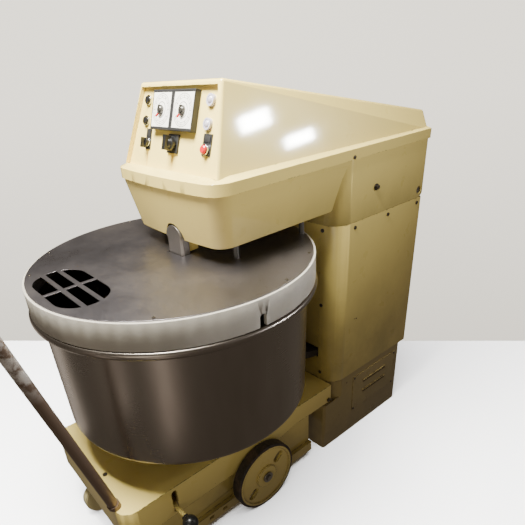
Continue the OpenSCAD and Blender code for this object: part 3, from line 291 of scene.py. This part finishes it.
def finish_node(name, material, bevel=0.0, segments=2):
    """Gives a CAD piece its material and, if asked, a small worn edge."""
    piece = NODES[name]
    piece.data.materials.clear()
    piece.data.materials.append(material)
    if bevel > 0:
        weld = piece.modifiers.new("Weld", "WELD")
        weld.merge_threshold = 0.00002
        edge = piece.modifiers.new("Edge", "BEVEL")
        edge.width = bevel
        edge.segments = segments
        edge.limit_method = "ANGLE"
        edge.angle_limit = math.radians(35)
        edge.use_clamp_overlap = True
        edge.harden_normals = True
    return piece


def mesh_piece(name, verts, faces, material, body):
    """A new mesh piece that rides on a body."""
    mesh = bpy.data.meshes.new(name)
    mesh.from_pydata(verts, [], faces)
    mesh.materials.append(material)
    made = bpy.data.objects.new(name, mesh)
    bpy.context.scene.collection.objects.link(made)
    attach(made, body)
    return made


def panel_axes():
    """Across, up the slope and outward directions of the control panel."""
    out = Vector(JOINTS["timer_left_turn"]["axis"]).normalized()
    across = Vector((1, 0, 0))
    return across, out.cross(across), out


def flat_box(verts, faces, origin, axes, low, high):
    """Adds a box, given by its low and high corners in a local frame, to a mesh's lists."""
    start = len(verts)
    for k in (low[2], high[2]):
        for i, j in ((low[0], low[1]), (high[0], low[1]), (high[0], high[1]), (low[0], high[1])):
            verts.append(origin + i * axes[0] + j * axes[1] + k * axes[2])
    quads = ((3, 2, 1, 0), (4, 5, 6, 7), (0, 1, 5, 4), (1, 2, 6, 5), (2, 3, 7, 6), (3, 0, 4, 7))
    faces.extend([tuple(start + v for v in quad) for quad in quads])


def flat_ring(verts, faces, origin, axes, radius, half, rise, count=64):
    """Adds a thin flat printed ring to a mesh's lists."""
    start = len(verts)
    for i in range(count):
        turn = 2 * math.pi * i / count
        radial = math.cos(turn) * axes[0] + math.sin(turn) * axes[1]
        verts.append(origin + (radius - half) * radial + rise * axes[2])
        verts.append(origin + (radius + half) * radial + rise * axes[2])
    for i in range(count):
        a, b = start + 2 * i, start + 2 * ((i + 1) % count)
        faces.append((a, a + 1, b + 1, b))


# Sizes and colours a user may change


class MixerFinish(bpy.types.PropertyGroup):
    cream: bpy.props.FloatVectorProperty(
        name="Cream", description="Colour of the enamel", subtype="COLOR", size=4,
        min=0, max=1, default=linear("EAD47E"),
    )
    # A darker copy of the cream, used on the base and its vents.
    dark_cream: bpy.props.FloatVectorProperty(
        name="Base cream", description="Colour of the base's enamel", subtype="COLOR", size=4,
        min=0, max=1, default=linear("9C8A5C"),
    )
    skirt: bpy.props.FloatVectorProperty(
        name="Skirt", description="Colour of the lid's plastic skirt", subtype="COLOR", size=4,
        min=0, max=1, default=linear("B0ABA2"),
    )
    # Painted shade: how strongly the paint is darkened low down.
    low_shade: bpy.props.FloatProperty(
        name="Shade", description="Strength of the dirt low on the paint", subtype="FACTOR",
        min=0, max=1, default=0.75,
    )
    chips: bpy.props.FloatProperty(
        name="Chips", description="Amount of chipped paint on the truck", subtype="FACTOR",
        min=0, max=2, default=1.0,
    )


class MixerSizes(bpy.types.PropertyGroup):
    edge: bpy.props.FloatProperty(
        name="Sheet edge", description="Rounding of the sheet metal's edges", unit="LENGTH",
        min=0, max=0.003, default=0.0012,
    )
    dial: bpy.props.FloatProperty(
        name="Dial radius", description="Radius of the timers' printed rings", unit="LENGTH",
        min=0.03, max=0.046, default=0.041,
    )
    tick: bpy.props.FloatProperty(
        name="Dial tick", description="Width of the timers' ticks", unit="LENGTH",
        min=0.0003, max=0.002, default=0.0009,
    )


class MixerStudio(bpy.types.PropertyGroup):
    key: bpy.props.FloatProperty(
        name="Key light", description="Power of the overhead light", unit="POWER", min=0, default=235,
    )
    fill: bpy.props.FloatProperty(
        name="Fill light", description="Power of the fill light from the front", unit="POWER",
        min=0, default=17,
    )
    strips: bpy.props.FloatProperty(
        name="Strip lights", description="Power of the tall strips that the bowl reflects", unit="POWER",
        min=0, default=0.75,
    )
    windows: bpy.props.FloatProperty(
        name="Window lights", description="Power of the small lights that shine on the cover's side",
        unit="POWER", min=0, default=1.9,
    )
    flood: bpy.props.FloatProperty(
        name="Floor flood", description="Power of the light that only the floor takes", unit="POWER",
        min=0, default=1850,
    )
    ambient: bpy.props.FloatProperty(
        name="Ambient", description="Strength of the room's even light", min=0, max=2, default=0.38,
    )
    wall_glow: bpy.props.FloatProperty(
        name="Wall glow", description="Brightness of the pale wall", min=0, max=10, default=1.97,
    )
    lens: bpy.props.FloatProperty(
        name="Focal length", description="Camera lens", subtype="DISTANCE_CAMERA", unit="CAMERA",
        min=10, max=200, default=32.38,
    )


# Operators: one for each piece or group of like pieces


class MIXER_OT_head_paint(bpy.types.Operator):
    """Paints the head's housing, its cover, the control panel and the breaker bar's bracket"""

    bl_idname = "mixer.head_paint"
    bl_label = "Head Paint"

    def execute(self, context):
        finish, sizes = context.scene.mixer_finish, context.scene.mixer_sizes
        enamel = paint("cream_enamel_head", finish, chips=0.25)
        finish_node("head_cover", enamel, sizes.edge)
        # The nose's paint darkens from 1.15 m down to 0.9 m: painted shade.
        nose = paint("cream_enamel_nose", finish, low_shade=(0.9, 1.15), chips=0.3)
        finish_node("head_housing", nose, sizes.edge)
        finish_node("bar_bracket", enamel, sizes.edge)
        across, up, out = panel_axes()
        # Painted shadows under the rotary and selector knobs.
        knob_shadow_places = []
        for name in ("rotary_turn", "selector_turn"):
            top = Vector(JOINTS[name]["pos_m"]) - SHADOW_BELOW_KNOB * up
            knob_shadow_places.append((top, SHADOW_LENGTH, SHADOW_WIDTH))
        finish_node("control_panel", paint("cream_enamel_panel", finish, chips=0.2, knob_shadows=knob_shadow_places), sizes.edge)
        return {"FINISHED"}


class MIXER_OT_column_paint(bpy.types.Operator):
    """Paints the column's sheets and the base, darkened low down with painted shade"""

    bl_idname = "mixer.column_paint"
    bl_label = "Column Paint"

    def execute(self, context):
        finish, sizes = context.scene.mixer_finish, context.scene.mixer_sizes
        # Painted shade darkens the column's sheets below about a metre and the base below half a metre.
        sheets = paint("cream_enamel_column", finish, low_shade=(0.2, 1.02), chips=0.4)
        for name in ("column_panel_right", "column_panel_left", "column_front_plate", "column_back_panel"):
            finish_node(name, sheets, sizes.edge)
        base = paint("cream_enamel_base", finish, "dark", low_shade=(0.0, 0.5), chips=0.8)
        for name in ("base_plinth", "vent_panels"):
            finish_node(name, base, sizes.edge)
        return {"FINISHED"}


class MIXER_OT_truck_paint(bpy.types.Operator):
    """Paints the truck's deck, chassis, wheels and castors, which are the most chipped"""

    bl_idname = "mixer.truck_paint"
    bl_label = "Truck Paint"

    def execute(self, context):
        finish, sizes = context.scene.mixer_finish, context.scene.mixer_sizes
        # Painted shade darkens the deck and the wheels below 0.3 m.
        deck = paint("cream_enamel_deck", finish, low_shade=(0.02, 0.3), chips=finish.chips)
        wheels = paint("cream_enamel_wheel", finish, low_shade=(-0.1, 0.3), chips=1.3 * finish.chips)
        for name in ("truck_deck", "truck_chassis", "bowl_bearing_housing", "lock_lever"):
            finish_node(name, deck, sizes.edge * 1.6, 3)
        for name in ("wheel_right", "wheel_left", "caster_fork_right", "caster_fork_left"):
            finish_node(name, wheels, sizes.edge)
        nylon = plain("castor_nylon", "C9BD8E", 0.5)
        finish_node("caster_wheel_right", nylon, sizes.edge)
        finish_node("caster_wheel_left", nylon, sizes.edge)
        return {"FINISHED"}


class MIXER_OT_steelwork(bpy.types.Operator):
    """Finishes the bowl, lid, tools, frame, shafts, handle and screws in steel"""

    bl_idname = "mixer.steelwork"
    bl_label = "Steelwork"

    def execute(self, context):
        finish_node("bowl", spun_steel("bowl_stainless", "968F89", 0.25, 40, 0.5))
        turned = spun_steel("turned_steel", "9A9794", 0.3, 60)
        for name in ("bowl_turntable", "spiral_shaft", "wheel_axle"):
            finish_node(name, turned, 0.0006)
        finish_node("lid_disc", brushed_steel("lid_stainless", "86838A", 0.27, (1.0, 14.0, 1.0)), 0.0006)
        tool = brushed_steel("tool_stainless", "A7A4A0", 0.3, (1.0, 1.0, 0.12), 90)
        finish_node("spiral_hook", tool)
        bar = brushed_steel("bar_stainless", "8E8984", 0.4, (9.0, 9.0, 1.0), 70)
        finish_node("breaker_bar", bar, 0.002, 3)
        frame_steel = brushed_steel("frame_steel", "6E6D6A", 0.45, (1.0, 1.0, 6.0))
        for name in ("column_frame", "head_frame", "lift_barrel", "lid_standoffs"):
            finish_node(name, frame_steel)
        finish_node("lift_rod", plain("hard_chrome", "C5C7C9", 0.12, 1.0))
        finish_node("push_handle", worn_tube())
        screws = plain("zinc_screws", "5E5850", 0.42, 1.0)
        for name in ("frame_screws", "head_screws"):
            finish_node(name, screws)
        return {"FINISHED"}


class MIXER_OT_lid_skirt(bpy.types.Operator):
    """Finishes the lid's white plastic skirt"""

    bl_idname = "mixer.lid_skirt"
    bl_label = "Lid Skirt"

    def execute(self, context):
        finish_node("lid_ring", skirt_plastic(context.scene.mixer_finish), 0.0012)
        return {"FINISHED"}


class MIXER_OT_drive_parts(bpy.types.Operator):
    """Finishes the motors, pulleys, belts, bearings and the friction roller"""

    bl_idname = "mixer.drive_parts"
    bl_label = "Drive Parts"

    def execute(self, context):
        motor = plain("grey_motor_enamel", "8E979B", 0.4)
        iron = plain("cast_iron", "6B665E", 0.55, 0.9)
        chrome = plain("bearing_steel", "B9BCC0", 0.2, 1.0)
        rubber = plain("belt_rubber", "232221", 0.7)
        for names, material in (
            (("spiral_motor", "bowl_motor"), motor),
            (("spiral_bearing_housing", "spiral_pulley", "motor_pulley"), iron),
            (("bowl_bearings", "spiral_bearings"), chrome),
            (("drive_belts",), rubber),
            (("drive_roller",), plain("roller_rubber", "3A3632", 0.75)),
        ):
            for name in names:
                finish_node(name, material)
        return {"FINISHED"}


class MIXER_OT_tyres(bpy.types.Operator):
    """Finishes the two solid rubber tyres, scuffed brown"""

    bl_idname = "mixer.tyres"
    bl_label = "Tyres"

    def execute(self, context):
        material, tree, shader, coords = start_material("tyre_rubber")
        scuffs = remap(tree, noise(tree, coords, 22, 5, 0.65), 0.45, 0.7, 0.0, 0.8)
        colour = blend_colours(tree, scuffs, linear("2B2623"), linear("5A483C"))
        tree.links.new(colour, shader.inputs["Base Color"])
        put(shader, Roughness=0.62, IOR=1.52)
        bump(tree, shader, noise(tree, coords, 120, 3), 0.25, 0.0008)
        for name in ("tyre_right", "tyre_left"):
            finish_node(name, material)
        return {"FINISHED"}


class MIXER_OT_controls(bpy.types.Operator):
    """Finishes the timers, buttons, lamps, switches and knobs"""

    bl_idname = "mixer.controls"
    bl_label = "Controls"

    def execute(self, context):
        black = plain("black_plastic", "1B1B1C", 0.32)
        satin = plain("black_satin_plastic", "262627", 0.5)
        chrome = plain("bright_chrome", "C9CCCE", 0.16, 1.0)
        for names, material, bevel in (
            (("timer_box", "switch_plates"), satin, 0.0012),
            (("start_button_upper", "start_button_lower", "selector_knob", "rotary_knob"), black, 0.0012),
            (("lever_knob",), black, 0.0),
            (("timer_dials",), plain("dial_white", "F3F1EB", 0.5), 0.0),
            (("timer_knob_left", "timer_knob_right"), plain("knob_grey", "55534F", 0.3, 0.6), 0.0006),
            (("stop_button",), plain("red_button_plastic", "C41C22", 0.25), 0.0008),
            (("button_rings",), chrome, 0.0006),
            (("pilot_lamps",), plain("lamp_lens", "C9C6DA", 0.18, Transmission_Weight=0.25), 0.0),
        ):
            for name in names:
                finish_node(name, material, bevel)
        return {"FINISHED"}


class MIXER_OT_timer_scales(bpy.types.Operator):
    """Adds the timers' printed rings and ticks, and their red pointers"""

    bl_idname = "mixer.timer_scales"
    bl_label = "Timer Scales"

    def execute(self, context):
        sizes = context.scene.mixer_sizes
        ink = plain("dial_ink", "55524E", 0.6)
        red = plain("pointer_red", "B3242A", 0.4)
        across, up, out = panel_axes()
        for side, joint in (("left", "timer_left_turn"), ("right", "timer_right_turn")):
            centre = Vector(JOINTS[joint]["pos_m"])
            face = centre + out * DIAL_FACE
            verts, faces = [], []
            for i in range(60):
                turn = 2 * math.pi * i / 60
                radial = math.cos(turn) * across + math.sin(turn) * up
                side_way = math.cos(turn) * up - math.sin(turn) * across
                length = 0.007 if i % 5 == 0 else 0.0035
                half = sizes.tick * (0.9 if i % 5 == 0 else 0.5)
                flat_box(
                    verts, faces, face, (radial, side_way, out),
                    (sizes.dial - length, -half, 0.0), (sizes.dial, half, 0.0003),
                )
            for radius, half in DIAL_RINGS:
                flat_ring(verts, faces, face, (across, up, out), radius, half, 0.0002)
            mesh_piece("timer_ticks_" + side, verts, faces, ink, "head")
            verts, faces = [], []
            radial = math.cos(POINTER_ANGLE) * across + math.sin(POINTER_ANGLE) * up
            side_way = math.cos(POINTER_ANGLE) * up - math.sin(POINTER_ANGLE) * across
            flat_box(
                verts, faces, face, (radial, side_way, out),
                (POINTER_REACH[0], -0.003, 0.0003), (POINTER_REACH[1], 0.003, 0.0014),
            )
            mesh_piece("timer_pointer_" + side, verts, faces, red, side + "_timer")
        return {"FINISHED"}


class MIXER_OT_studio(bpy.types.Operator):
    """Adds the floor, the back wall, the lights and the camera"""

    bl_idname = "mixer.studio"
    bl_label = "Studio"

    def execute(self, context):
        studio = context.scene.mixer_studio
        scene = context.scene
        foot_left, foot_right = WALL_FOOT
        along = (foot_right - foot_left).normalized()
        toward = Vector((along.y, -along.x, 0))
        reach, tall, deep = 9.0, 7.0, 12.0
        middle = (foot_left + foot_right) / 2
        a, b = middle - reach * along, middle + reach * along
        floor = plain("pale_floor", "E4E4E5", 0.7)
        wall = self.wall_paint(studio)
        planes = (
            ("studio_floor", (a, a + deep * toward, b + deep * toward, b), floor),
            ("studio_wall", (a, b, b + tall * Vector((0, 0, 1)), a + tall * Vector((0, 0, 1))), wall),
        )
        for name, corners, material in planes:
            mesh = bpy.data.meshes.new(name)
            mesh.from_pydata([tuple(c) for c in corners], [], [(0, 1, 2, 3)])
            mesh.materials.append(material)
            made = bpy.data.objects.new(name, mesh)
            scene.collection.objects.link(made)
            made.visible_diffuse = False
            made.visible_glossy = False
        world = bpy.data.worlds.new("dim_room")
        world.use_nodes = True
        world.node_tree.nodes["Background"].inputs["Color"].default_value = linear("AFA393")
        world.node_tree.nodes["Background"].inputs["Strength"].default_value = studio.ambient
        scene.world = world
        self.lights(scene, studio)
        self.camera(scene, studio)
        return {"FINISHED"}

    def only(self, name, piece):
        """A collection of one piece, for a light that shines on nothing else."""
        lit = bpy.data.collections.new(name)
        lit.objects.link(piece)
        return lit

    def lights(self, scene, studio):
        """A soft light overhead, a fill from the front, and small lights for the steel and the cover."""
        steel = self.only("strip_lit_steel", NODES["bowl"])
        skirt = self.only("fill_lit_skirt", NODES["lid_ring"])
        floor = self.only("flood_lit_floor", bpy.data.objects["studio_floor"])
        white, ivory, warm = "FFFFFF", "FFFCF0", "FFF1E2"
        for name, place, target, size, power, tint, lit in (
            ("overhead_key", (0.1, -0.68, 2.72), (0.0, -0.2, 0.95), (0.9, 0.6), studio.key, ivory, None),
            ("front_fill", (1.9, -3.2, 1.5), (0.0, -0.4, 0.5), (1.6, 1.6), studio.fill, "FFF6E4", None),
            (
                "side_window_high", (2.2, 1.72, 1.9), (0.24, 0.0, 1.34), (0.24, 0.12),
                studio.windows, white, None,
            ),
            (
                "side_window_low", (2.05, 1.98, 1.66), (0.24, 0.1, 1.30), (0.22, 0.08),
                studio.windows * 0.55, white, None,
            ),
            ("floor_flood", (0.3, -1.2, 4.6), (0.3, -0.6, 0.0), (4.5, 4.5), studio.flood, white, floor),
            (
                "strip_right", (0.91, -1.168, 0.3), (0.342, -0.47, 0.66), (0.2, 0.9),
                studio.strips, warm, steel,
            ),
            (
                "strip_middle", (0.154, -1.66, 0.3), (0.238, -0.563, 0.66), (0.3, 0.9),
                studio.strips * 0.8, warm, steel,
            ),
            (
                "strip_left", (-0.824, -0.937, 0.3), (0.022, -0.632, 0.66), (0.34, 0.9),
                studio.strips, warm, steel,
            ),
            (
                "skirt_fill", (1.7, 0.5, 1.0), (0.3, -0.15, 0.9), (0.8, 0.4),
                studio.fill * 0.35, white, skirt,
            ),
        ):
            light = bpy.data.lights.new(name, "AREA")
            light.shape = "RECTANGLE"
            light.size, light.size_y = size
            light.energy = power
            light.color = linear(tint)[:3]
            if name.startswith("side_window"):
                light.spread = math.radians(44)
            lamp = bpy.data.objects.new(name, light)
            lamp.location = place
            lamp.rotation_mode = "QUATERNION"
            lamp.rotation_quaternion = (Vector(target) - Vector(place)).to_track_quat("-Z", "Y")
            lamp.visible_camera = False
            if lit:
                lamp.light_linking.receiver_collection = lit
            scene.collection.objects.link(lamp)

    def wall_paint(self, studio):
        """A warm white wall that glows, a little darker towards the floor as painted shade."""
        material, tree, shader, coords = start_material("pale_wall")
        height = add(tree, "ShaderNodeSeparateXYZ", links={"Vector": coords}).outputs["Z"]
        # Painted shade: the glow dims towards the floor.
        fade = remap(tree, height, 0.0, 1.3, studio.wall_glow * 0.74, studio.wall_glow)
        tree.links.new(fade, shader.inputs["Emission Strength"])
        put(shader, Base_Color=linear("2E2D2B"), Roughness=1.0, Emission_Color=linear("FAF3E4"))
        return material

    def camera(self, scene, studio):
        """A hand-held view from the operator's right, a little rolled."""
        yaw, pitch, roll = CAMERA_ANGLES
        level = math.cos(pitch)
        ahead = Vector((-math.sin(yaw) * level, math.cos(yaw) * level, math.sin(pitch)))
        right = ahead.cross(Vector((0, 0, 1))).normalized()
        up = right.cross(ahead)
        rolled_right = math.cos(roll) * right + math.sin(roll) * up
        rolled_up = math.cos(roll) * up - math.sin(roll) * right
        turn = Matrix((rolled_right, rolled_up, -ahead)).transposed().to_4x4()
        data = bpy.data.cameras.new("camera")
        data.lens = studio.lens
        data.shift_x, data.shift_y = CAMERA_SHIFT
        camera = bpy.data.objects.new("camera", data)
        camera.matrix_world = Matrix.Translation(CAMERA_PLACE) @ turn
        scene.collection.objects.link(camera)
        scene.camera = camera


OPERATORS = (
    MIXER_OT_head_paint,
    MIXER_OT_column_paint,
    MIXER_OT_truck_paint,
    MIXER_OT_steelwork,
    MIXER_OT_lid_skirt,
    MIXER_OT_drive_parts,
    MIXER_OT_tyres,
    MIXER_OT_controls,
    MIXER_OT_timer_scales,
    MIXER_OT_studio,
)


class MIXER_PT_sidebar(bpy.types.Panel):
    """Lists the mixer's settings and the steps that build it"""

    bl_idname = "MIXER_PT_sidebar"
    bl_label = "Spiral Dough Mixer"
    bl_space_type = "VIEW_3D"
    bl_region_type = "UI"
    bl_category = "Mixer"

    def draw(self, context):
        scene = context.scene
        for group in (scene.mixer_finish, scene.mixer_sizes, scene.mixer_studio):
            box = self.layout.box()
            for name in group.__annotations__:
                box.prop(group, name)
        for operator in OPERATORS:
            self.layout.operator(operator.bl_idname)


GROUPS = (MixerFinish, MixerSizes, MixerStudio)


def register():
    for kind in GROUPS + OPERATORS + (MIXER_PT_sidebar,):
        bpy.utils.register_class(kind)
    bpy.types.Scene.mixer_finish = bpy.props.PointerProperty(type=MixerFinish)
    bpy.types.Scene.mixer_sizes = bpy.props.PointerProperty(type=MixerSizes)
    bpy.types.Scene.mixer_studio = bpy.props.PointerProperty(type=MixerStudio)


def unregister():
    del bpy.types.Scene.mixer_studio
    del bpy.types.Scene.mixer_sizes
    del bpy.types.Scene.mixer_finish
    for kind in reversed(GROUPS + OPERATORS + (MIXER_PT_sidebar,)):
        bpy.utils.unregister_class(kind)


def main():
    register()
    for operator in OPERATORS:
        group, name = operator.bl_idname.split(".")
        getattr(getattr(bpy.ops, group), name)()


if __name__ == "__main__":
    main()
